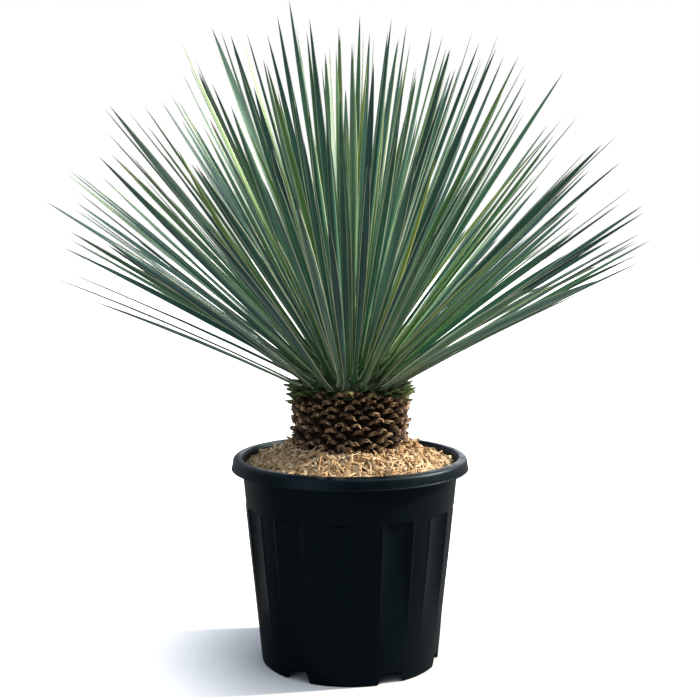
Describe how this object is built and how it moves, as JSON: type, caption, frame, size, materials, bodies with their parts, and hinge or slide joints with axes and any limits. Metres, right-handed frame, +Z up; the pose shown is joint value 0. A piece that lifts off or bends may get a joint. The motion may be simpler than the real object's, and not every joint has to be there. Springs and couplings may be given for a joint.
{
  "type": "potted yucca",
  "caption": "Round head of stiff narrow blue-green blades on a short scaly trunk, set in wood shavings in a black nursery pot with a drop lip, fluted sides and a notched foot",
  "frame": {"origin": "on the ground at the middle of the pot's foot ring", "axes": "+Z up along the trunk, -Y towards the picture's viewer, +X to the viewer's right"},
  "size_m": [1.0211, 0.8917, 1.1103],
  "materials": {
    "pot": "satin moulded black polypropylene",
    "soil": "moist peaty potting soil",
    "mulch": "loose dry wood shavings",
    "trunk": "dry brown cut leaf bases",
    "leaf": "waxy blue-green leaf with pale margins"
  },
  "bodies": {
    "root": {"pot": "pot", "soil": "soil", "mulch": "mulch", "trunk": "trunk", "leaf_crown": "leaf"}
  },
  "joints": []
}
